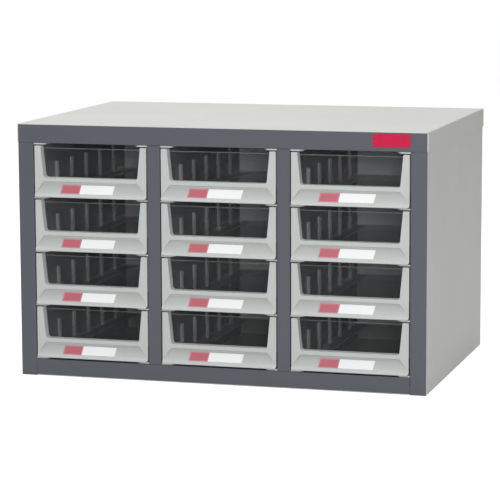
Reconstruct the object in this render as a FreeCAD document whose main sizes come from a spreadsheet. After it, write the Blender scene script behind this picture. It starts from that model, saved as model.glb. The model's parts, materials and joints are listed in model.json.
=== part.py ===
"""Small steel cabinet with twelve moulded plastic drawers in three columns of four."""
import FreeCAD, Part
import os
import re
import Sketcher

# The cabinet stands on its flat bottom with the drawers facing -Y.
# The origin is the middle of the bottom of its bounding box, and +Z is up.
COLUMNS = 3
ROWS = 4
COMPARTMENTS = 6

# An edge whose length lies along an axis to this share of it is parallel to that axis
STRAIGHT_share = 0.999999

SIZES = {
    # Cabinet, without the pulls that stand proud of its front face
    "cabinet_width": 586,
    "cabinet_depth": 397,
    "cabinet_height": 357,
    # Folded steel
    "cover_sheet": 1.2,
    "cover_bend": 1.8,
    "frame_sheet": 1.2,
    "frame_bend": 1.0,
    "frame_return": 18,
    "frame_seam": 0.2,
    "panel_sheet": 1.0,
    "wall_sheet": 1.0,
    "side_flange": 16,
    "pan_flange": 12,
    "post_width": 22.5,
    "mullion_width": 18.5,
    "top_rail_height": 26.8,
    "bottom_rail_height": 24,
    "bottom_rail_lift": 1.5,
    # Runners
    "runner_gap": 0.2,
    "ledge_width": 18,
    "ledge_thickness": 2,
    "ledge_front": 0.8,
    "nose_width": 14,
    "nose_length": 4,
    "web_thickness": 1.4,
    "web_height": 4,
    "stop_thickness": 3,
    "stop_height": 3,
    "nib_width": 7,
    "nib_length": 4,
    "nib_height": 1.2,
    "nib_setback": 50,
    # Clearances round a drawer
    "side_gap": 1.6,
    "lip_gap": 0.6,
    "head_gap": 1.7,
    "running_gap": 0.3,
    "rear_space": 21,
    # Drawer front
    "front_depth": 12,
    "front_wall": 2.2,
    "lip_height": 22,
    "sill_band": 5.4,
    "post_head": 8.6,
    "post_foot": 12.9,
    "lip_proud": 3,
    "lip_lean": 2.4,
    "lip_edge": 1.2,
    "lip_bend": 4.8,
    "scoop_depth": 2.4,
    "scoop_height": 4.2,
    "scoop_edge": 1.4,
    "gusset_height": 17,
    "foot_radius": 3,
    "window_corner": 4,
    "tongue_thickness": 0.9,
    "tongue_length": 6,
    "tongue_height": 16,
    "tongue_base": 34,
    "tongue_gap": 0.1,
    # Drawer tray
    "tray_wall": 1.8,
    "tray_floor": 1.8,
    "tray_radius": 2.5,
    "tray_headroom": 0.2,
    "wall_drop": 3.5,
    "rim_bead": 0.7,
    "rim_bead_height": 2.5,
    "rib_thickness": 1.5,
    "rib_slot": 2,
    "rib_depth": 4.5,
    "rib_top": 43,
    "lug_height": 1.5,
    "lug_length": 6,
    "lug_setback": 4,
    # Label card on each pull
    "label_length": 80,
    "label_height": 12.5,
    "label_thickness": 0.6,
    "label_seat": 0.3,
    "label_slant": 3,
    "label_shift": 4.5,
    "label_foot": 5.2,
    # Blank nameplate on the top rail
    "badge_width": 52,
    "badge_height": 18,
    "badge_thickness": 0.9,
    "badge_radius": 2,
    "badge_side_margin": 24,
    "badge_top_margin": 3,
    # Length by which a cut runs past the material, and the one below which two places are the same
    "overrun": 2,
    "round_off": 0.0001,
}

# Derived lengths, as expressions of the sheet's names
HALF_WIDTH = "(cabinet_width / 2)"
SHELL = "(cabinet_width / 2 - cover_sheet)"
INSIDE = f"({SHELL} - panel_sheet)"
ROOF = "(cabinet_height - cover_sheet)"
OPENING_SIDE = f"({SHELL} - post_width)"
OPENING_WIDTH = f"((2 * {OPENING_SIDE} - {COLUMNS - 1} * mullion_width) / {COLUMNS})"
OPENING_HEAD = "(cabinet_height - top_rail_height)"
COLUMN_PITCH = f"({OPENING_WIDTH} + mullion_width)"
ROW_PITCH = f"(({OPENING_HEAD} - bottom_rail_height - 2 * frame_seam - ledge_thickness) / {ROWS})"
FRONT_PLANE = "((lip_proud - cabinet_depth) / 2)"
REAR_INSIDE = "(cabinet_depth - cover_sheet - panel_sheet)"
TONGUE_HALF = f"({INSIDE} - side_flange - frame_seam)"
PAN_HALF = f"({INSIDE} - frame_seam)"
PAN_FRONT = "(frame_sheet + panel_sheet + frame_seam)"
PAN_REAR = f"({REAR_INSIDE} - panel_sheet - frame_seam)"
WALL_FRONT = "(frame_return + frame_seam)"
WALL_REAR = f"({PAN_REAR} - panel_sheet - frame_seam)"
LEDGE_BASE = "(bottom_rail_height + frame_seam)"
LIP_BASE = f"({LEDGE_BASE} + ledge_thickness + lip_gap)"
FRONT_HALF = f"({OPENING_WIDTH} / 2 - side_gap)"
FRONT_HEIGHT = f"({ROW_PITCH} - ledge_thickness - lip_gap - head_gap)"
SILL_TOP = "(lip_height + sill_band)"
WINDOW_FOOT = f"({FRONT_HALF} - post_foot)"
WINDOW_HEAD = f"({FRONT_HALF} - post_head)"
SCOOP_LINE = "(lip_height - scoop_height)"
BEND_PROUD = "(lip_lean - scoop_depth)"
LIP_RISE = f"({SCOOP_LINE} - lip_bend)"
TRAY_HALF = f"({FRONT_HALF} - tongue_thickness - tongue_gap)"
TRAY_BASE = "(running_gap - lip_gap)"
TRAY_TOP = f"({FRONT_HEIGHT} - tray_headroom)"
TRAY_REAR = "(cabinet_depth - rear_space)"
TRAY_INNER_HALF = f"({TRAY_HALF} - tray_wall)"
TRAY_INNER_FRONT = "(front_depth + tray_wall)"
TRAY_INNER_REAR = f"({TRAY_REAR} - tray_wall)"
FLOOR_TOP = f"({TRAY_BASE} + tray_floor)"
RIB_PITCH = f"(({TRAY_INNER_REAR} - {TRAY_INNER_FRONT}) / {COMPARTMENTS})"
STOP_FRONT = f"({TRAY_REAR} + running_gap)"
RUNNER_END = f"({STOP_FRONT} + stop_thickness)"
LABEL_BACK = f"(scoop_depth - lip_lean * ({SCOOP_LINE} - label_foot) / {LIP_RISE})"
LABEL_TILT = f"atan(lip_lean / {LIP_RISE})"

doc = FreeCAD.newDocument("drawer_cabinet")
sheet = doc.addObject("Spreadsheet::Sheet", "sizes")
for row, (alias, size) in enumerate(SIZES.items(), 1):
    sheet.set(f"A{row}", alias)
    sheet.set(f"B{row}", str(size))
    sheet.setAlias(f"B{row}", alias)
doc.recompute()

nodes = []


def named(text):
    """Writes the sheet's name in front of every alias of an expression."""
    def full(word):
        return "sizes." + word.group() if word.group() in SIZES else word.group()
    return re.sub(r"[a-z][a-z_]+", full, text)


def value(text):
    """The present value of an expression."""
    return float(sheet.evalExpression(named(text)))


def bind(item, path, text):
    item.setExpression(path, named(text))


def place(item, x, y, z):
    for axis, text in zip("xyz", (x, y, z)):
        bind(item, "Placement.Base." + axis, text)


def keep(item, label):
    """Makes an object of the document one of the cabinet's pieces."""
    item.Label = label
    nodes.append(item)
    return item


# Sketches and the features that use them

def new_body(label):
    body = doc.addObject("PartDesign::Body", label)
    body.Label = label
    place(body, "0", FRONT_PLANE, "0")
    return body


def origin_item(body, role):
    return [item for item in body.Origin.OriginFeatures if item.Role == role][0]


def new_sketch(body, name, role, level):
    """A sketch on one of the body's own planes, moved along that plane's axis to a level."""
    sketch = body.newObject("Sketcher::SketchObject", name)
    sketch.AttachmentSupport = [(origin_item(body, role), "")]
    sketch.MapMode = "FlatFace"
    bind(sketch, "AttachmentOffset.Base.z", f"-({level})" if role == "XZ_Plane" else level)
    return sketch


def tie(sketch, kind, line, text):
    """Holds the start of a line at a distance from the sketch's origin."""
    index = sketch.addConstraint(Sketcher.Constraint(kind, -1, 1, line, 1, value(text)))
    bind(sketch, f"Constraints[{index}]", text)


def draw(sketch, corners):
    """A closed outline of straight lines, every corner held by the sheet."""
    first = sketch.GeometryCount
    spots = [FreeCAD.Vector(value(across), value(up), 0) for across, up in corners]
    count = len(spots)
    for i in range(count):
        sketch.addGeometry(Part.LineSegment(spots[i], spots[(i + 1) % count]))
    for i in range(count):
        sketch.addConstraint(Sketcher.Constraint("Coincident", first + i, 2, first + (i + 1) % count, 1))
    for i, (across, up) in enumerate(corners):
        tie(sketch, "DistanceX", first + i, across)
        tie(sketch, "DistanceY", first + i, up)


def box_corners(left, right, low, high):
    return [(left, low), (right, low), (right, high), (left, high)]


def mirrored(corners):
    return [(f"-({across})", up) for across, up in corners]


def outline(body, name, role, level, *shapes):
    sketch = new_sketch(body, name, role, level)
    for corners in shapes:
        draw(sketch, corners)
    return sketch


def extrude(body, kind, sketch, length, forward=True):
    """A pad or pocket from its sketch towards the plane's positive axis, or away from it."""
    feature = body.newObject("PartDesign::" + kind, sketch.Name + "_" + kind.lower())
    feature.Profile = sketch
    bind(feature, "Length", length)
    against = sketch.AttachmentSupport[0][0].Role == "XZ_Plane"
    feature.Reversed = (against == (kind == "Pad")) == forward
    return feature


def extrude_both(body, kind, sketch, length):
    """A pad or pocket that reaches half of its length to each side of its sketch."""
    feature = body.newObject("PartDesign::" + kind, sketch.Name + "_" + kind.lower())
    feature.Profile = sketch
    feature.SideType = "Symmetric"
    bind(feature, "Length", length)
    return feature


def runs_along(edge, axis):
    step = edge.Vertexes[-1].Point - edge.Vertexes[0].Point
    length = abs(getattr(step, axis))
    return edge.Curve.TypeId == "Part::GeomLine" and length > step.Length * STRAIGHT_share


def lies_at(edge, axis, text):
    wanted = value(text)
    return all(abs(getattr(vertex.Point, axis) - wanted) < value("round_off") for vertex in edge.Vertexes)


def round_edges(body, name, base, radius, chosen):
    doc.recompute()
    edges = [f"Edge{n}" for n, edge in enumerate(base.Shape.Edges, 1) if chosen(edge)]
    fillet = body.newObject("PartDesign::Fillet", name)
    fillet.Base = (base, edges)
    bind(fillet, "Radius", radius)
    return fillet


# Top cover: one sheet folded down over both sides and the back

def make_top_cover():
    body = keep(new_body("top_cover"), "top_cover")
    section = [
        (f"-{HALF_WIDTH}", OPENING_HEAD), (f"-{HALF_WIDTH}", "cabinet_height"),
        (HALF_WIDTH, "cabinet_height"), (HALF_WIDTH, OPENING_HEAD),
        (SHELL, OPENING_HEAD), (SHELL, ROOF), (f"-{SHELL}", ROOF), (f"-{SHELL}", OPENING_HEAD)]
    extrude(body, "Pad", outline(body, "cover_section", "XZ_Plane", "0", section), "cabinet_depth")
    rear = box_corners(f"-{HALF_WIDTH}", HALF_WIDTH, OPENING_HEAD, "cabinet_height")
    sketch = outline(body, "cover_rear", "XZ_Plane", "cabinet_depth - cover_sheet", rear)
    flange = extrude(body, "Pad", sketch, "cover_sheet")

    def bends(edge):
        at_top = lies_at(edge, "z", "cabinet_height")
        side = runs_along(edge, "y") and at_top
        back = runs_along(edge, "x") and at_top and lies_at(edge, "y", "cabinet_depth")
        return side or back
    round_edges(body, "cover_bends", flange, "cover_bend", bends)


# Front frame: rails, posts and mullions of folded sheet

def make_top_rail():
    body = keep(new_body("top_rail"), "top_rail")
    section = [
        ("0", OPENING_HEAD), ("frame_return", OPENING_HEAD),
        ("frame_return", f"{OPENING_HEAD} + frame_sheet"), ("frame_sheet", f"{OPENING_HEAD} + frame_sheet"),
        ("frame_sheet", f"{ROOF} - frame_sheet"), ("frame_return", f"{ROOF} - frame_sheet"),
        ("frame_return", ROOF), ("0", ROOF)]
    sketch = outline(body, "rail_section", "YZ_Plane", "0", section)
    extrude_both(body, "Pad", sketch, f"2 * {TONGUE_HALF}")
    face = box_corners(f"-{SHELL}", SHELL, OPENING_HEAD, ROOF)
    pad = extrude(body, "Pad", outline(body, "rail_face", "XZ_Plane", "0", face), "frame_sheet")

    def bend(edge):
        return runs_along(edge, "x") and lies_at(edge, "y", "0") and lies_at(edge, "z", OPENING_HEAD)
    round_edges(body, "rail_bend", pad, "frame_bend", bend)


def make_bottom_rail():
    body = keep(new_body("bottom_rail"), "bottom_rail")
    section = [
        ("0", "bottom_rail_lift"), ("frame_sheet", "bottom_rail_lift"),
        ("frame_sheet", "bottom_rail_height - frame_sheet"),
        ("frame_return", "bottom_rail_height - frame_sheet"),
        ("frame_return", "bottom_rail_height"), ("0", "bottom_rail_height")]
    sketch = outline(body, "rail_section", "YZ_Plane", "0", section)
    pad = extrude_both(body, "Pad", sketch, f"2 * ({OPENING_SIDE} - frame_seam)")

    def bend(edge):
        return runs_along(edge, "x") and lies_at(edge, "y", "0") and lies_at(edge, "z", "bottom_rail_height")
    round_edges(body, "rail_bend", pad, "frame_bend", bend)


def make_post(label, side):
    body = keep(new_body(label), label)
    section = [
        (OPENING_SIDE, "0"), (SHELL, "0"), (SHELL, "frame_sheet"),
        (f"{OPENING_SIDE} + frame_sheet", "frame_sheet"),
        (f"{OPENING_SIDE} + frame_sheet", "frame_return"), (OPENING_SIDE, "frame_return")]
    if side < 0:
        section = mirrored(section)
    sketch = outline(body, "post_section", "XY_Plane", "0", section)
    pad = extrude(body, "Pad", sketch, f"{OPENING_HEAD} - frame_seam")

    def bend(edge):
        inner = lies_at(edge, "x", f"{side} * {OPENING_SIDE}")
        return runs_along(edge, "z") and inner and lies_at(edge, "y", "0")
    round_edges(body, "post_bend", pad, "frame_bend", bend)
    notch = box_corners(
        f"{OPENING_SIDE} - overrun", f"{OPENING_SIDE} + frame_sheet", "frame_sheet", "frame_return + overrun")
    notch = notch if side > 0 else mirrored(notch)
    sketch = outline(body, "pan_notch", "XY_Plane", "0", notch)
    extrude(body, "Pocket", sketch, "pan_flange + frame_seam")


def make_mullion(label, place_share):
    body = keep(new_body(label), label)
    place(body, f"{place_share} * {COLUMN_PITCH}", FRONT_PLANE, "0")
    half, core = "mullion_width / 2", "(mullion_width / 2 - frame_sheet)"
    section = [
        (f"-{half}", "0"), (half, "0"), (half, "frame_return"), (core, "frame_return"),
        (core, "frame_sheet"), (f"-{core}", "frame_sheet"),
        (f"-{core}", "frame_return"), (f"-{half}", "frame_return")]
    sketch = outline(body, "mullion_section", "XY_Plane", "bottom_rail_height + frame_seam", section)
    length = f"{OPENING_HEAD} - bottom_rail_height - 2 * frame_seam"
    pad = extrude(body, "Pad", sketch, length)

    def bend(edge):
        sides = lies_at(edge, "x", half) or lies_at(edge, "x", f"-{half}")
        return runs_along(edge, "z") and sides and lies_at(edge, "y", "0")
    round_edges(body, "mullion_bends", pad, "frame_bend", bend)


# Outer panels

def make_side_panel(label, side):
    body = keep(new_body(label), label)
    reach = f"{INSIDE} - side_flange"
    section = [
        (SHELL, "frame_sheet"), (SHELL, REAR_INSIDE), (reach, REAR_INSIDE),
        (reach, f"{REAR_INSIDE} - panel_sheet"), (INSIDE, f"{REAR_INSIDE} - panel_sheet"),
        (INSIDE, "frame_sheet + panel_sheet"), (reach, "frame_sheet + panel_sheet"),
        (reach, "frame_sheet")]
    if side < 0:
        section = mirrored(section)
    extrude(body, "Pad", outline(body, "panel_section", "XY_Plane", "0", section), ROOF)


def make_back_panel():
    panel = keep(doc.addObject("Part::Box", "back_panel"), "back_panel")
    bind(panel, "Length", f"2 * {SHELL}")
    bind(panel, "Width", "panel_sheet")
    bind(panel, "Height", ROOF)
    place(panel, f"-{SHELL}", f"{FRONT_PLANE} + {REAR_INSIDE}", "0")


def make_bottom_panel():
    """A shallow pan with its edges folded up, notched where the side panels' flanges pass."""
    body = keep(new_body("bottom_panel"), "bottom_panel")
    half_floor = [
        (TONGUE_HALF, "frame_sheet"), (TONGUE_HALF, PAN_FRONT), (PAN_HALF, PAN_FRONT), (PAN_HALF, PAN_REAR)]
    floor = half_floor + mirrored(half_floor)[::-1]
    extrude(body, "Pad", outline(body, "pan_floor", "XY_Plane", "0", floor), "panel_sheet")
    side = box_corners(f"{PAN_HALF} - panel_sheet", PAN_HALF, PAN_FRONT, PAN_REAR)
    front = box_corners(f"-{TONGUE_HALF}", TONGUE_HALF, "frame_sheet", "frame_sheet + panel_sheet")
    rear = box_corners(
        f"-({PAN_HALF} - panel_sheet)", f"{PAN_HALF} - panel_sheet", f"{PAN_REAR} - panel_sheet", PAN_REAR)
    for name, flange in (("right", side), ("left", mirrored(side)), ("front", front), ("rear", rear)):
        sketch = outline(body, "pan_" + name, "XY_Plane", "0", flange)
        extrude(body, "Pad", sketch, "pan_flange")


# Walls that line each column and carry its runners

def make_column_wall(label, column_share, side):
    """A folded sheet whose flanges turn away from the column, towards its neighbour or the side panel."""
    body = keep(new_body(label), label)
    face = f"({column_share} * {COLUMN_PITCH} + {side} * {OPENING_WIDTH} / 2)"
    back = f"({face} + {side} * wall_sheet)"
    reach = f"({face} + {side} * (mullion_width - frame_seam) / 2)"
    if abs(column_share + side) > COLUMNS / 2:
        reach = f"({side} * ({PAN_HALF} - panel_sheet - frame_seam))"
    section = [
        (face, WALL_FRONT), (reach, WALL_FRONT), (reach, f"{WALL_FRONT} + wall_sheet"),
        (back, f"{WALL_FRONT} + wall_sheet"), (back, f"{WALL_REAR} - wall_sheet"),
        (reach, f"{WALL_REAR} - wall_sheet"), (reach, WALL_REAR), (face, WALL_REAR)]
    sketch = outline(body, "wall_section", "XY_Plane", "panel_sheet", section)
    extrude(body, "Pad", sketch, f"{ROOF} - panel_sheet")


# Runners: a moulded ledge with a guide web, an end stop and a nib that stops the drawer below

def make_runner(side):
    """Drawn for the left wall of a column, or mirrored for the right one."""
    name = "runner_left_pattern" if side < 0 else "runner_right_pattern"
    body = new_body(name)
    place(body, "0", "0", "0")
    ledge = [
        ("runner_gap", "ledge_front"), ("nose_width", "ledge_front"),
        ("ledge_width", "ledge_front + nose_length"), ("ledge_width", RUNNER_END),
        ("runner_gap", RUNNER_END)]
    web = box_corners("runner_gap", "runner_gap + web_thickness", WALL_FRONT, RUNNER_END)
    stop = box_corners("runner_gap", "ledge_width", STOP_FRONT, RUNNER_END)
    nib = box_corners("runner_gap", "nib_width", "nib_setback", "nib_setback + nib_length")
    parts = (
        ("ledge", ledge, "ledge_thickness", True), ("web", web, "ledge_thickness + web_height", True),
        ("stop", stop, "ledge_thickness + stop_height", True), ("nib", nib, "nib_height", False))
    for part, corners, length, upward in parts:
        corners = corners if side < 0 else mirrored(corners)
        sketch = outline(body, "runner_" + part, "XY_Plane", "0", corners)
        extrude(body, "Pad", sketch, length, upward)
    return body


def make_runners(label, column_share, patterns):
    """All runners of one column: a pair under each drawer and a pair over the top one."""
    group = []
    for side, pattern in patterns.items():
        for level in range(ROWS + 1):
            runner = doc.addObject("App::Link", f"{label}_{'left' if side < 0 else 'right'}_{level}")
            runner.LinkedObject = pattern
            x = f"{column_share} * {COLUMN_PITCH} + {side} * {OPENING_WIDTH} / 2"
            place(runner, x, FRONT_PLANE, f"{LEDGE_BASE} + {level} * {ROW_PITCH}")
            group.append(runner)
    compound = keep(doc.addObject("Part::Compound", label), label)
    compound.Links = group


# Drawer front: an open-topped window frame over a hollow pull that leans out at its foot

def make_front():
    body = new_body("front_pattern")
    place(body, "0", "0", "0")
    draw_front_block(body)
    gusset = [
        (WINDOW_FOOT, "lip_height"), (FRONT_HALF, "lip_height"), (FRONT_HALF, "lip_height - gusset_height")]
    sketch = outline(body, "gussets", "XZ_Plane", "0", gusset, mirrored(gusset))
    gussets = extrude(body, "Pad", sketch, "front_wall + scoop_depth")

    def foot_corners(edge):
        ends = lies_at(edge, "x", FRONT_HALF) or lies_at(edge, "x", f"-{FRONT_HALF}")
        return runs_along(edge, "y") and ends and lies_at(edge, "z", "0")
    round_edges(body, "foot_corners", gussets, "foot_radius", foot_corners)

    above = f"{FRONT_HEIGHT} + overrun"
    half_window = [(WINDOW_FOOT, SILL_TOP), (WINDOW_HEAD, FRONT_HEIGHT), (WINDOW_HEAD, above)]
    window = half_window + mirrored(half_window)[::-1]
    sketch = outline(body, "window", "XZ_Plane", "0", window)
    pocket = extrude(body, "Pocket", sketch, "front_depth + overrun")

    def window_corners(edge):
        corner = lies_at(edge, "x", WINDOW_FOOT) or lies_at(edge, "x", f"-{WINDOW_FOOT}")
        return runs_along(edge, "y") and corner and lies_at(edge, "z", SILL_TOP)
    round_edges(body, "window_corners", pocket, "window_corner", window_corners)

    hollow = [
        ("front_wall - lip_proud", "-overrun"), ("front_wall - lip_proud", "lip_edge"),
        (f"front_wall - {BEND_PROUD}", "lip_bend"), ("front_wall + scoop_depth", SCOOP_LINE),
        ("front_wall + scoop_depth", f"{SILL_TOP} - front_wall"),
        ("front_depth + overrun", f"{SILL_TOP} - front_wall"), ("front_depth + overrun", "-overrun")]
    sketch = outline(body, "pull_hollow", "YZ_Plane", "0", hollow)
    extrude_both(body, "Pocket", sketch, f"2 * ({FRONT_HALF} - front_wall)")

    outer, low, high = f"{FRONT_HALF} - front_wall", f"{SILL_TOP} - front_wall", f"{FRONT_HEIGHT} - front_wall"
    post = [
        (f"{WINDOW_FOOT} + front_wall", low), (outer, low), (outer, high), (f"{WINDOW_HEAD} + front_wall", high)]
    sketch = outline(body, "post_hollows", "XZ_Plane", "front_wall", post, mirrored(post))
    extrude(body, "Pocket", sketch, "front_depth")

    tongue = box_corners(
        f"{FRONT_HALF} - tongue_thickness", FRONT_HALF, "tongue_base", "tongue_base + tongue_height")
    sketch = outline(body, "tongues", "XZ_Plane", "front_depth - front_wall", tongue, mirrored(tongue))
    extrude(body, "Pad", sketch, "front_wall + tongue_length")
    cut_label_seat(body)
    return body


def draw_front_block(body):
    """The pull's side view: upright above, then a leaning face that curls forward at its foot."""
    sketch = new_sketch(body, "front_side_view", "YZ_Plane", "0")
    corners = [
        ("-lip_proud", "lip_edge"), (f"-{BEND_PROUD}", "lip_bend"), ("scoop_depth", SCOOP_LINE),
        ("scoop_edge", "lip_height - scoop_edge"), ("0", "lip_height"), ("0", FRONT_HEIGHT),
        ("front_depth", FRONT_HEIGHT), ("front_depth", "0"), ("-lip_proud", "0")]
    draw(sketch, corners)
    extrude_both(body, "Pad", sketch, f"2 * {FRONT_HALF}")


def label_corners(margin):
    """The card's slanted outline about its own foot and middle."""
    half, low, high = "label_length / 2", f"-{margin}", f"label_height + {margin}"
    return [
        (f"-({half} + {margin})", low), (f"{half} - label_slant + {margin}", low),
        (f"{half} + {margin}", high), (f"-({half} - label_slant + {margin})", high)]


def cut_label_seat(body):
    """A shallow seat for the card in the leaning face."""
    sketch = new_sketch(body, "label_seat", "XZ_Plane", LABEL_BACK)
    sketch.AttachmentOffset.Rotation = FreeCAD.Rotation(FreeCAD.Vector(1, 0, 0), -value(LABEL_TILT))
    bind(sketch, "AttachmentOffset.Base.x", "-label_shift")
    bind(sketch, "AttachmentOffset.Base.y", "label_foot")
    draw(sketch, label_corners("tongue_gap"))
    extrude(body, "Pocket", sketch, "label_seat")


# Drawer tray: a clear open box with slots for dividers along both sides

def make_tray():
    body = new_body("tray_pattern")
    place(body, "0", "0", "0")
    outer = box_corners(f"-{TRAY_HALF}", TRAY_HALF, "front_depth", TRAY_REAR)
    sketch = outline(body, "tray_block", "XY_Plane", TRAY_BASE, outer)
    block = extrude(body, "Pad", sketch, f"{TRAY_TOP} - {TRAY_BASE}")
    round_edges(body, "tray_corners", block, "tray_radius", lambda edge: runs_along(edge, "z"))

    beads = box_corners(
        f"{TRAY_HALF} - tray_wall", f"{TRAY_HALF} + rim_bead", f"{TRAY_TOP} - rim_bead_height", TRAY_TOP)
    sketch = outline(body, "rim_beads", "XZ_Plane", "front_depth + tray_radius", beads, mirrored(beads))
    extrude(body, "Pad", sketch, f"{TRAY_REAR} - front_depth - 2 * tray_radius")

    inner = box_corners(f"-{TRAY_INNER_HALF}", TRAY_INNER_HALF, TRAY_INNER_FRONT, TRAY_INNER_REAR)
    sketch = outline(body, "tray_inside", "XY_Plane", FLOOR_TOP, inner)
    extrude(body, "Pocket", sketch, f"{TRAY_TOP} - {FLOOR_TOP} + overrun")

    low, high = f"{TRAY_TOP} - wall_drop", f"{TRAY_TOP} + overrun"
    front_end = box_corners("front_depth - overrun", "front_depth + tray_radius", low, high)
    rear_end = box_corners(f"{TRAY_REAR} - tray_radius", f"{TRAY_REAR} + overrun", low, high)
    sketch = outline(body, "lowered_ends", "YZ_Plane", "0", front_end, rear_end)
    extrude_both(body, "Pocket", sketch, f"2 * ({TRAY_HALF} + rim_bead)")

    tip, root = f"{TRAY_INNER_HALF} - rib_depth", f"{TRAY_INNER_HALF} + tray_wall / 2"
    station = f"{TRAY_INNER_FRONT} + {RIB_PITCH}"
    near = box_corners(tip, root, f"{station} - rib_slot / 2 - rib_thickness", f"{station} - rib_slot / 2")
    far = box_corners(tip, root, f"{station} + rib_slot / 2", f"{station} + rib_slot / 2 + rib_thickness")
    level = f"{FLOOR_TOP} - tray_floor / 2"
    sketch = outline(body, "rib_pairs", "XY_Plane", level, near, far, mirrored(near), mirrored(far))
    ribs = extrude(body, "Pad", sketch, f"rib_top - ({level})")
    doc.recompute()
    pattern = body.newObject("PartDesign::LinearPattern", "rib_rows")
    pattern.Originals = [ribs]
    pattern.Direction = (origin_item(body, "Y_Axis"), [""])
    bind(pattern, "Length", f"{COMPARTMENTS - 2} * {RIB_PITCH}")
    pattern.Occurrences = COMPARTMENTS - 1
    body.Tip = pattern

    lug = box_corners(
        TRAY_INNER_HALF, TRAY_HALF, f"{TRAY_REAR} - lug_setback - lug_length", f"{TRAY_REAR} - lug_setback")
    sketch = outline(body, "stop_lugs", "XY_Plane", f"{TRAY_TOP} - rim_bead_height", lug, mirrored(lug))
    extrude(body, "Pad", sketch, "rim_bead_height + lug_height")
    return body


# Label card and nameplate

def make_label():
    body = new_body("label_pattern")
    place(body, "0", "0", "0")
    sketch = outline(body, "card", "XZ_Plane", "label_seat", label_corners("0"))
    extrude(body, "Pad", sketch, "label_thickness", False)
    return body


def make_badge():
    body = keep(new_body("badge"), "badge")
    right = f"({HALF_WIDTH} - badge_side_margin)"
    top = "(cabinet_height - badge_top_margin)"
    face = box_corners(f"{right} - badge_width", right, f"{top} - badge_height", top)
    pad = extrude(body, "Pad", outline(body, "badge_face", "XZ_Plane", "0", face), "badge_thickness", False)
    round_edges(body, "badge_corners", pad, "badge_radius", lambda edge: runs_along(edge, "y"))


def make_drawer(row, column, column_share, patterns):
    """One drawer: its tray, its front and its label card, at a place in the grid."""
    x, z = f"{column_share} * {COLUMN_PITCH}", f"{LIP_BASE} + {ROWS - 1 - row} * {ROW_PITCH}"
    for kind, pattern in patterns.items():
        label = f"{kind}_r{row + 1}c{column + 1}"
        piece = keep(doc.addObject("App::Link", label), label)
        piece.LinkedObject = pattern
        if kind == "label":
            tilt = FreeCAD.Rotation(FreeCAD.Vector(1, 0, 0), -value(LABEL_TILT))
            piece.Placement = FreeCAD.Placement(FreeCAD.Vector(), tilt)
            place(piece, f"{x} - label_shift", f"{FRONT_PLANE} + {LABEL_BACK}", f"{z} + label_foot")
        else:
            place(piece, x, FRONT_PLANE, z)


# Assembly

make_top_cover()
make_top_rail()
make_bottom_rail()
for side_name, hand in (("left", -1), ("right", 1)):
    make_post("post_" + side_name, hand)
    make_side_panel("side_panel_" + side_name, hand)
make_mullion("mullion_left", -0.5)
make_mullion("mullion_right", 0.5)
make_back_panel()
make_bottom_panel()

runner_patterns = {-1: make_runner(-1), 1: make_runner(1)}
drawer_patterns = {"tray": make_tray(), "front": make_front(), "label": make_label()}
for column_index in range(COLUMNS):
    offset_share = column_index - (COLUMNS - 1) / 2
    for side_name, hand in (("left", -1), ("right", 1)):
        make_column_wall(f"column_wall_{column_index + 1}_{side_name}", offset_share, hand)
    make_runners(f"runners_{column_index + 1}", offset_share, runner_patterns)
    for row_index in range(ROWS):
        make_drawer(row_index, column_index, offset_share, drawer_patterns)
make_badge()
doc.recompute()

# Every object must be sound before anything is written
for item in doc.Objects:
    if "Invalid" in item.State or "Error" in item.State:
        raise SystemExit(f"{item.Label} could not be made: {item.State}")
for item in nodes:
    shape = Part.getShape(item)
    if shape.isNull() or not shape.isValid():
        raise SystemExit(f"{item.Label} has no sound shape")

os.makedirs("parts", exist_ok=True)
for item in nodes:
    Part.getShape(item).exportStep(f"parts/{item.Label}.step")
travel = value(f"{TRAY_REAR} - lug_setback - lug_length - nib_setback - nib_length - running_gap")
print(len(nodes), "pieces written, drawer travel", round(travel, 2))
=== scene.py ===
"""Looks of a small steel drawer cabinet: finishes with painted shade and highlights, rounded edges,
light and camera.
"""
import json
import math
import bpy
from mathutils import Matrix, Vector


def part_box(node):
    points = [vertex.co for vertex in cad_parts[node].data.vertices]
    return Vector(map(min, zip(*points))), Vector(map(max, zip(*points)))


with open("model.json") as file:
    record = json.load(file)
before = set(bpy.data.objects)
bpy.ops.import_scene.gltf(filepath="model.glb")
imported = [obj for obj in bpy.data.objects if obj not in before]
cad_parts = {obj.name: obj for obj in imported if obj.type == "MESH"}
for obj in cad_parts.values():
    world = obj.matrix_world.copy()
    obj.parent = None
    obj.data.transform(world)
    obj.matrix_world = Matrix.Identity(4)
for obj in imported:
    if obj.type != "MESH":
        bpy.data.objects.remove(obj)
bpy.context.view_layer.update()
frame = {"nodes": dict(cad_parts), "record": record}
NODES = frame["nodes"]

# Camera: picture size and focal length in pixels, place in metres, angles in degrees
IMAGE_PIXELS = 500
FOCAL_PIXELS = 2333.5
CAMERA_PLACE = (0.9304, -3.22931, 0.64797)
CAMERA_AZIMUTH = 16.271
CAMERA_ELEVATION = 8.242
CAMERA_ROLL = -0.236
CAMERA_RANGE = 50.0
SENSOR_WIDTH = 36.0

# Lamps: place, target and size in metres, and power in watts
LAMPS = {
    "key": ((0.6, -2.8, 1.9), (0, 0, 0.15), (2.0, 1.0), 40),
    "top": ((-0.5, 0.2, 2.6), (0, 0, 0.3), (2.2, 2.2), 46),
    "fill": ((1.0, -3.4, 0.72), (0, 0, 0.15), (0.6, 0.4), 26),
}
AMBIENT_LIGHT = 0.33
FLOOR_GLOW = 0.82
FLOOR_REACH = 6.0

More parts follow.
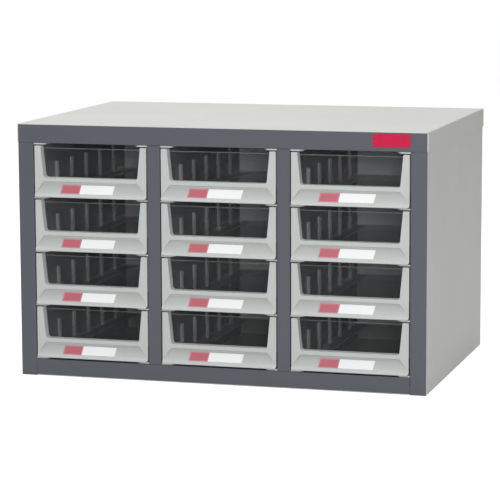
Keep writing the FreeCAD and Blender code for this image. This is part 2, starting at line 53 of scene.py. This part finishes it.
# Colours, linear
COVER_PAINT = (0.640, 0.643, 0.612)
FRAME_PAINT = (0.080, 0.087, 0.103)
WALL_PAINT = (0.080, 0.088, 0.100)
FRONT_PLASTIC = (0.520, 0.548, 0.535)
SCOOP_PLASTIC = (0.540, 0.560, 0.535)
RUNNER_PLASTIC = (0.560, 0.570, 0.550)
PANE_SMOKE = (0.080, 0.084, 0.094)
TRAY_SMOKE = (0.490, 0.495, 0.515)
TRAY_HIGHLIGHT = (0.700, 0.700, 0.680)
TRAY_REAR_LIT = (0.600, 0.610, 0.640)
CARD_WHITE = (0.900, 0.905, 0.910)
CARD_RED = (0.500, 0.122, 0.152)
CARD_RED_EDGE = (0.560, 0.200, 0.245)
BADGE_RED = (0.580, 0.010, 0.060)
FLOOR_WHITE = (0.500, 0.500, 0.500)

# Shares of the front's colour: a painted shade in the pull's scoop, a painted light on the window's
# reveal and a painted highlight on the rounded edges
SCOOP_PAINTED_SHADE = 0.78
REVEAL_PAINTED_LIGHT = 1.40
EDGE_PAINTED_HIGHLIGHT = 1.35

# Share of the light that one face of the tray's clear plastic holds back; the painted highlights
# and the rear wall painted as lit hold back more
PANE_COVER = 0.04
TRAY_COVER = 0.34
HIGHLIGHT_COVER = 0.85
REAR_LIT_COVER = 0.80

# Strength of the tray's painted highlights: the line on the pane's top, and a rib's highlight from
# its foot to its top
PANE_HIGHLIGHT_SHARE = 0.28
RIB_HIGHLIGHT_FOOT = 0.20
RIB_HIGHLIGHT_TOP = 0.70

# Shares of the card's length, and of its height for the field's margin above and below
RED_SHARE = 0.35
RED_MARGIN = 0.12
RED_SIDE_MARGIN = 0.024
CARD_SLANT = 0.0375

# Metres
TRAY_WALL = 0.0018
TRAY_SKIN = TRAY_WALL / 10
RIM_BEAD = 0.0007
RIB_ROOT = 0.0024
RIB_TOP = 0.043
RIM_HEIGHT = 0.061
PANE_LINE = 0.0671
PULL_PROUD = 0.003
PULL_HEIGHT = 0.023
SCOOP_DEPTH = 0.0024
WELD_REACH = 0.00001
EDGE_WIDTHS = {"front_plastic": 0.0005, "runner_plastic": 0.0003, "tray_plastic": 0.0003}

# Degrees: the least fold that is rounded, and the most that counts as flat
EDGE_ANGLE = 25.0
FLAT_ANGLE = 1.0


# Node trees

class Tree:
    """A material's node tree with short calls to add and join its nodes."""

    def __init__(self, name):
        self.material = bpy.data.materials.new(name)
        self.material.use_nodes = True
        self.nodes = self.material.node_tree.nodes
        self.links = self.material.node_tree.links
        self.shader = self.nodes["Principled BSDF"]

    def add(self, kind, **settings):
        node = self.nodes.new(kind)
        for key, setting in settings.items():
            setattr(node, key, setting)
        return node

    def join(self, output, target):
        self.links.new(output, target)

    def feed(self, **sockets):
        """Leads outputs into the shader's inputs."""
        for name, output in sockets.items():
            self.join(output, self.shader.inputs[name.replace("_", " ")])

    def set(self, **sockets):
        """Sets the shader's inputs to one value all over."""
        for name, setting in sockets.items():
            self.shader.inputs[name.replace("_", " ")].default_value = setting

    def coordinates(self, output="Object"):
        return self.add("ShaderNodeTexCoord").outputs[output]

    def split(self, vector):
        """The X, Y and Z of a vector."""
        node = self.add("ShaderNodeSeparateXYZ")
        self.join(vector, node.inputs["Vector"])
        return node.outputs

    def noise(self, scale, detail=2.0):
        node = self.add("ShaderNodeTexNoise")
        node.inputs["Scale"].default_value = scale
        node.inputs["Detail"].default_value = detail
        self.join(self.coordinates(), node.inputs["Vector"])
        return node.outputs["Fac"]

    def ramp(self, source, low, high, start=0.3, end=0.7):
        """Turns a grey value into a run between two colours."""
        node = self.add("ShaderNodeValToRGB")
        node.color_ramp.elements[0].position = start
        node.color_ramp.elements[1].position = end
        node.color_ramp.elements[0].color = (*low, 1)
        node.color_ramp.elements[1].color = (*high, 1)
        self.join(source, node.inputs["Fac"])
        return node.outputs["Color"]

    def spread(self, source, low, high):
        """Turns a value from 0 to 1 into one between two limits."""
        node = self.add("ShaderNodeMapRange")
        node.inputs["To Min"].default_value = low
        node.inputs["To Max"].default_value = high
        self.join(source, node.inputs["Value"])
        return node.outputs["Result"]

    def bump(self, source, strength, distance):
        node = self.add("ShaderNodeBump")
        node.inputs["Strength"].default_value = strength
        node.inputs["Distance"].default_value = distance
        self.join(source, node.inputs["Height"])
        self.feed(Normal=node.outputs["Normal"])

    def mix(self, factor, first, second):
        """The first colour where the factor is 0, and the second where it is 1."""
        node = self.add("ShaderNodeMix", data_type="RGBA")
        self.join(factor, node.inputs["Factor"])
        for name, item in (("A", first), ("B", second)):
            socket = [each for each in node.inputs if each.name == name and each.type == "RGBA"][0]
            if isinstance(item, tuple):
                socket.default_value = (*item, 1)
            else:
                self.join(item, socket)
        return [each for each in node.outputs if each.type == "RGBA"][0]

    def calculate(self, operation, *items):
        node = self.add("ShaderNodeMath", operation=operation)
        for socket, item in zip(node.inputs, items):
            if isinstance(item, (int, float)):
                socket.default_value = item
            else:
                self.join(item, socket)
        return node.outputs["Value"]

    def larger(self, first, second):
        return self.calculate("MAXIMUM", first, second)

    def minus(self, first, second):
        return self.calculate("SUBTRACT", first, second)

    def times(self, first, second):
        return self.calculate("MULTIPLY", first, second)

    def share(self, first, second):
        return self.calculate("DIVIDE", first, second)

    def above(self, item, limit):
        """1 where a value is more than a limit, and 0 elsewhere."""
        return self.calculate("GREATER_THAN", item, limit)

    def below(self, item, limit):
        """1 where a value is less than a limit, and 0 elsewhere."""
        return self.calculate("LESS_THAN", item, limit)

    def between(self, item, low, high):
        """1 where a value lies between two limits, and 0 elsewhere."""
        return self.times(self.above(item, low), self.below(item, high))

    def level_in_row(self, height, foot, pitch):
        """How far up its own row of drawers a height lies, from 0 to 1."""
        level = self.share(self.minus(height, foot), pitch)
        return self.minus(level, self.calculate("FLOOR", level))


def tint(colour, share):
    return tuple(part * share for part in colour)


# Finishes, with painted shade and highlights on the drawer fronts and trays

def paint(name, colour, roughness):
    """Powder coat: an even colour with a faint cloud and a fine orange peel."""
    tree = Tree(name)
    cloud, sheen = tree.noise(scale=9.0), tree.noise(scale=60.0)
    tree.feed(
        Base_Color=tree.ramp(cloud, tint(colour, 0.975), tint(colour, 1.02)),
        Roughness=tree.spread(sheen, roughness - 0.04, roughness + 0.04))
    tree.bump(tree.noise(scale=900.0, detail=3.0), strength=0.10, distance=0.0004)
    return tree.material


def paint_recess_shade_and_light(tree, tone):
    """The front's tone, with a painted shade down in the pull's scoop and a painted light on the
    window's reveal.
    """
    place = tree.split(tree.coordinates())
    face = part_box("front_r1c1")[0][1] + PULL_PROUD
    depth = tree.share(tree.minus(place["Y"], face), SCOOP_DEPTH)
    depth = tree.calculate("MINIMUM", tree.larger(depth, 0.0), 1.0)
    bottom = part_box("front_r1c1")[0][2]
    row_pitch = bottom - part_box("front_r2c1")[0][2]
    level = tree.level_in_row(place["Z"], bottom, row_pitch)
    pull = tree.below(level, PULL_HEIGHT / row_pitch)
    # Painted shade for the scoop, painted light for the reveal
    reveal, scoop = tint(FRONT_PLASTIC, REVEAL_PAINTED_LIGHT), tint(SCOOP_PLASTIC, SCOOP_PAINTED_SHADE)
    return tree.mix(depth, tone, tree.mix(pull, reveal, scoop))


def moulded(name, colour, roughness, with_painted_recess_light=False):
    """Moulded plastic: an even colour with a faint flow mottle and a fine spark-eroded grain."""
    tree = Tree(name)
    flow, sheen = tree.noise(scale=26.0), tree.noise(scale=210.0)
    tone = tree.ramp(flow, tint(colour, 0.98), tint(colour, 1.015))
    # On a drawer front: a painted shade in the pull's scoop and a painted light on the window's
    # reveal
    if with_painted_recess_light:
        tone = paint_recess_shade_and_light(tree, tone)
    tree.feed(
        Base_Color=tone,
        Roughness=tree.spread(sheen, roughness - 0.05, roughness + 0.05))
    tree.bump(tree.noise(scale=2600.0), strength=0.06, distance=0.0002)
    return tree.material


def rib_roots(tree, across, half_width, column_pitch):
    """1 in the tray's ribs next to its side walls, by the distance from the column's middle."""
    column = tree.calculate("ROUND", tree.share(across, column_pitch))
    from_middle = tree.calculate("ABSOLUTE", tree.minus(across, tree.times(column, column_pitch)))
    wall_face = half_width - RIM_BEAD - TRAY_WALL
    return tree.between(from_middle, wall_face - RIB_ROOT, wall_face - TRAY_SKIN)


def clear_tray(name):
    """Smoke grey clear plastic: a polished pane, hazy walls, painted highlights on the rims, the
    ribs and the pane's top line, and a rear wall painted paler as if lit.
    """
    tree = Tree(name)
    place = tree.split(tree.coordinates())
    low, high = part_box("tray_r1c1")
    column_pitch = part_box("tray_r1c2")[0][0] - low[0]
    row_pitch = low[2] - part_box("tray_r2c1")[0][2]
    level = tree.level_in_row(place["Z"], low[2], row_pitch)
    behind = tree.above(place["Y"], low[1] + TRAY_WALL + TRAY_SKIN)
    rear = tree.above(place["Y"], high[1] - TRAY_WALL - TRAY_SKIN)

    facing_up = tree.split(tree.add("ShaderNodeNewGeometry").outputs["Normal"])["Z"]
    upright = tree.below(tree.calculate("ABSOLUTE", facing_up), 0.5)
    rib = rib_roots(tree, place["X"], (high[0] - low[0]) / 2, column_pitch)
    rib = tree.times(tree.times(rib, upright), behind)
    # Painted highlights: on the ribs by the side walls, growing from foot to top, on the rims' tops
    # and along the pane's top
    rise = tree.spread(tree.share(level, RIB_TOP / row_pitch), RIB_HIGHLIGHT_FOOT, RIB_HIGHLIGHT_TOP)
    rim = tree.times(tree.above(level, RIM_HEIGHT / row_pitch), tree.above(facing_up, 0.5))
    pane_line = tree.times(tree.above(level, PANE_LINE / row_pitch), tree.minus(1.0, behind))
    edge = tree.larger(tree.times(rib, rise), rim)
    edge = tree.larger(edge, tree.times(pane_line, PANE_HIGHLIGHT_SHARE))

    haze = tree.noise(scale=18.0)
    tone = tree.mix(
        behind, tree.ramp(haze, tint(PANE_SMOKE, 0.8), tint(PANE_SMOKE, 1.2)),
        tree.ramp(haze, tint(TRAY_SMOKE, 0.9), tint(TRAY_SMOKE, 1.1)))
    # The rear wall painted paler and denser than the other walls, as painted light
    tone = tree.mix(rear, tone, tree.ramp(haze, tint(TRAY_REAR_LIT, 0.9), tint(TRAY_REAR_LIT, 1.1)))
    # The painted highlights' tone
    tone = tree.mix(edge, tone, tree.ramp(haze, tint(TRAY_HIGHLIGHT, 0.9), TRAY_HIGHLIGHT))
    cover = tree.spread(behind, PANE_COVER, TRAY_COVER)
    cover = tree.larger(cover, tree.times(rear, REAR_LIT_COVER))
    cover = tree.larger(cover, tree.times(edge, HIGHLIGHT_COVER))
    tree.feed(Base_Color=tone, Alpha=cover, Roughness=tree.spread(haze, 0.08, 0.16))
    tree.set(IOR=1.49)
    tree.bump(tree.noise(scale=35.0), strength=0.05, distance=0.0005)
    return tree.material


def printed_card(name):
    """White card with a bare red field at its left end, cut off on the card's own slant."""
    tree = Tree(name)
    place = tree.split(tree.coordinates("Generated"))
    along = tree.minus(place["X"], tree.times(place["Z"], CARD_SLANT))
    red = tree.below(along, RED_SHARE)
    field = tree.between(along, RED_SIDE_MARGIN, RED_SHARE - RED_SIDE_MARGIN)
    field = tree.times(field, tree.between(place["Z"], RED_MARGIN, 1 - RED_MARGIN))
    grain = tree.noise(scale=500.0)
    white = tree.ramp(grain, tint(CARD_WHITE, 0.97), CARD_WHITE)
    tree.feed(
        Base_Color=tree.mix(red, white, tree.mix(field, CARD_RED_EDGE, CARD_RED)),
        Roughness=tree.spread(grain, 0.35, 0.5))
    return tree.material


def enamel(name, colour):
    """Glossy printed plate with a slight ripple."""
    tree = Tree(name)
    ripple = tree.noise(scale=120.0)
    tree.feed(
        Base_Color=tree.ramp(ripple, tint(colour, 0.96), tint(colour, 1.03)),
        Roughness=tree.spread(ripple, 0.22, 0.30))
    tree.bump(ripple, strength=0.05, distance=0.0003)
    tree.set(Specular_IOR_Level=0.25)
    return tree.material


finishes = {
    "cover_paint": paint("cover_paint", COVER_PAINT, roughness=0.48),
    "frame_paint": paint("frame_paint", FRAME_PAINT, roughness=0.42),
    "wall_paint": paint("wall_paint", WALL_PAINT, roughness=0.50),
    # The drawer fronts take a painted shade in the scoop and a painted light on the reveal
    "front_plastic": moulded("front_plastic", FRONT_PLASTIC, roughness=0.42, with_painted_recess_light=True),
    "runner_plastic": moulded("runner_plastic", RUNNER_PLASTIC, roughness=0.45),
    "tray_plastic": clear_tray("tray_plastic"),
    "label_card": printed_card("label_card"),
    "badge_face": enamel("badge_face", BADGE_RED),
}
# Materials for the rounded edges: on the drawer fronts a glossier edge painted lighter as a
# highlight, elsewhere the piece's own finish
bevel_finishes_and_highlights = {
    "front_plastic": moulded("front_edge_highlight", tint(FRONT_PLASTIC, EDGE_PAINTED_HIGHLIGHT), roughness=0.22),
    "runner_plastic": finishes["runner_plastic"],
    "tray_plastic": finishes["tray_plastic"],
}


# Dressing the CAD pieces

def soften(piece, width, bevel_finish_and_highlight):
    """Rounds a moulding's sharp edges by a bevel over its joined faces, in a material of its own,
    which on the drawer fronts is a painted highlight.
    """
    piece.data.materials.append(bevel_finish_and_highlight)
    weld = piece.modifiers.new("join", "WELD")
    weld.merge_threshold = WELD_REACH
    planes = piece.modifiers.new("planes", "DECIMATE")
    planes.decimate_type = "DISSOLVE"
    planes.angle_limit = math.radians(FLAT_ANGLE)
    bevel = piece.modifiers.new("edges", "BEVEL")
    bevel.width = width
    bevel.segments = 2
    bevel.material = 1
    bevel.limit_method = "ANGLE"
    bevel.angle_limit = math.radians(EDGE_ANGLE)
    normals = piece.modifiers.new("normals", "WEIGHTED_NORMAL")
    normals.keep_sharp = False


for part in frame["record"]["subparts"]:
    piece, slot = NODES[part["node"]], part["material_slot"]
    piece.data.materials.clear()
    piece.data.materials.append(finishes[slot])
    if slot in EDGE_WIDTHS:
        soften(piece, EDGE_WIDTHS[slot], bevel_finishes_and_highlights[slot])


# Stage, light and camera

def stage_floor():
    """A pale floor that stays white to the camera and still takes a faint shadow."""
    mesh = bpy.data.meshes.new("floor")
    corners = [
        (x * FLOOR_REACH, y * FLOOR_REACH, 0) for x, y in ((-1, -1), (1, -1), (1, 1), (-1, 1))]
    mesh.from_pydata(corners, [], [(0, 1, 2, 3)])
    floor = bpy.data.objects.new("floor", mesh)
    bpy.context.scene.collection.objects.link(floor)
    tree = Tree("floor")
    tree.set(Base_Color=(*FLOOR_WHITE, 1), Roughness=0.9, Specular_IOR_Level=0.0)
    tree.set(Emission_Color=(1, 1, 1, 1))
    path = tree.add("ShaderNodeLightPath").outputs
    seen = tree.larger(path["Is Camera Ray"], path["Is Glossy Ray"])
    seen = tree.larger(seen, path["Is Transmission Ray"])
    tree.feed(Emission_Strength=tree.times(seen, FLOOR_GLOW))
    mesh.materials.append(tree.material)


def stage_world():
    """White behind the object as the camera sees it, and a lower even light on everything else."""
    world = bpy.data.worlds.new("studio")
    bpy.context.scene.world = world
    world.use_nodes = True
    nodes, links = world.node_tree.nodes, world.node_tree.links
    background = nodes["Background"]
    background.inputs["Color"].default_value = (1, 1, 1, 1)
    path = nodes.new("ShaderNodeLightPath")
    level = nodes.new("ShaderNodeMapRange")
    level.inputs["To Min"].default_value = AMBIENT_LIGHT
    level.inputs["To Max"].default_value = 1.0
    links.new(path.outputs["Is Camera Ray"], level.inputs["Value"])
    links.new(level.outputs["Result"], background.inputs["Strength"])


def hang_lamp(name, place, target, size, watts):
    light = bpy.data.lights.new(name, "AREA")
    light.shape = "RECTANGLE"
    light.size, light.size_y = size
    light.energy = watts
    lamp = bpy.data.objects.new(name, light)
    lamp.location = place
    aim = Vector(target) - Vector(place)
    lamp.rotation_euler = aim.to_track_quat("-Z", "Y").to_euler()
    bpy.context.scene.collection.objects.link(lamp)


def stand_camera():
    camera = bpy.data.cameras.new("camera")
    camera.sensor_width = SENSOR_WIDTH
    camera.lens = SENSOR_WIDTH * FOCAL_PIXELS / IMAGE_PIXELS
    camera.clip_end = CAMERA_RANGE
    stand = bpy.data.objects.new("camera", camera)
    turn = Matrix.Rotation(math.radians(CAMERA_AZIMUTH), 4, "Z")
    tilt = Matrix.Rotation(math.radians(90 - CAMERA_ELEVATION), 4, "X")
    roll = Matrix.Rotation(math.radians(CAMERA_ROLL), 4, "Z")
    stand.matrix_world = Matrix.Translation(CAMERA_PLACE) @ turn @ tilt @ roll
    bpy.context.scene.collection.objects.link(stand)
    bpy.context.scene.camera = stand


stage_floor()
stage_world()
for lamp_name, settings in LAMPS.items():
    hang_lamp(lamp_name, *settings)
stand_camera()
bpy.context.scene.view_settings.view_transform = "Standard"
